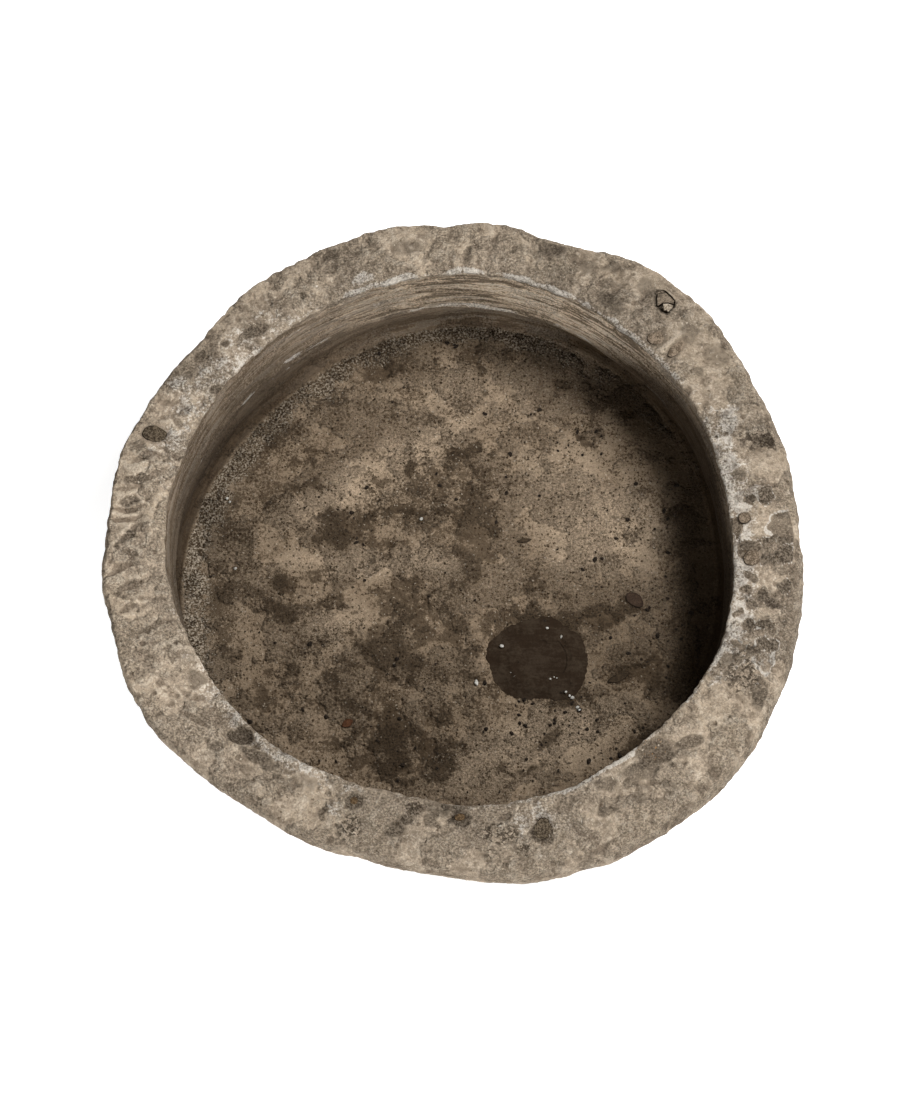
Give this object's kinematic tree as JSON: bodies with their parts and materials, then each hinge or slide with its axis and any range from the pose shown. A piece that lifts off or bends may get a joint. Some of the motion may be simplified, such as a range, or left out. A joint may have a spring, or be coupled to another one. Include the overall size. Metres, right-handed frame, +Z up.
{
  "type": "stone trough planter",
  "caption": "Low round trough planter hewn from one block of stone, with a wide uneven rim, a deep basin and a stopped drain hole sealed with mortar.",
  "frame": {"origin": "centre of the block's own box, on the ground under it", "axes": "+X to the right of the pictured view, +Y towards its back, +Z up; the mouth opens upwards"},
  "size_m": [0.711, 0.7026, 0.2308],
  "materials": {
    "hewn_stone": "hand-hewn, weathered, lime-stained",
    "dark_wood": "blackened, flush, dusty",
    "stained_mortar": "smeared by hand, dark stained",
    "chip_stone": "broken, matt",
    "pale_stone": "freshly broken, matt",
    "dark_pebble": "rough, matt",
    "brown_pebble": "worn smooth",
    "rusty_pebble": "rust stained"
  },
  "bodies": {
    "root": {"stone_body": "hewn_stone", "drain_stopper": "dark_wood", "stopper_mortar": "stained_mortar", "rim_chip": "chip_stone", "rim_chip_sliver": "pale_stone", "left_pebble": "dark_pebble", "right_pebble": "brown_pebble", "right_flat_pebble": "brown_pebble", "back_oval_pebble": "brown_pebble", "back_long_pebble": "brown_pebble", "front_pebble": "rusty_pebble", "front_left_pebble": "rusty_pebble", "front_oval_pebble": "dark_pebble"}
  },
  "joints": []
}
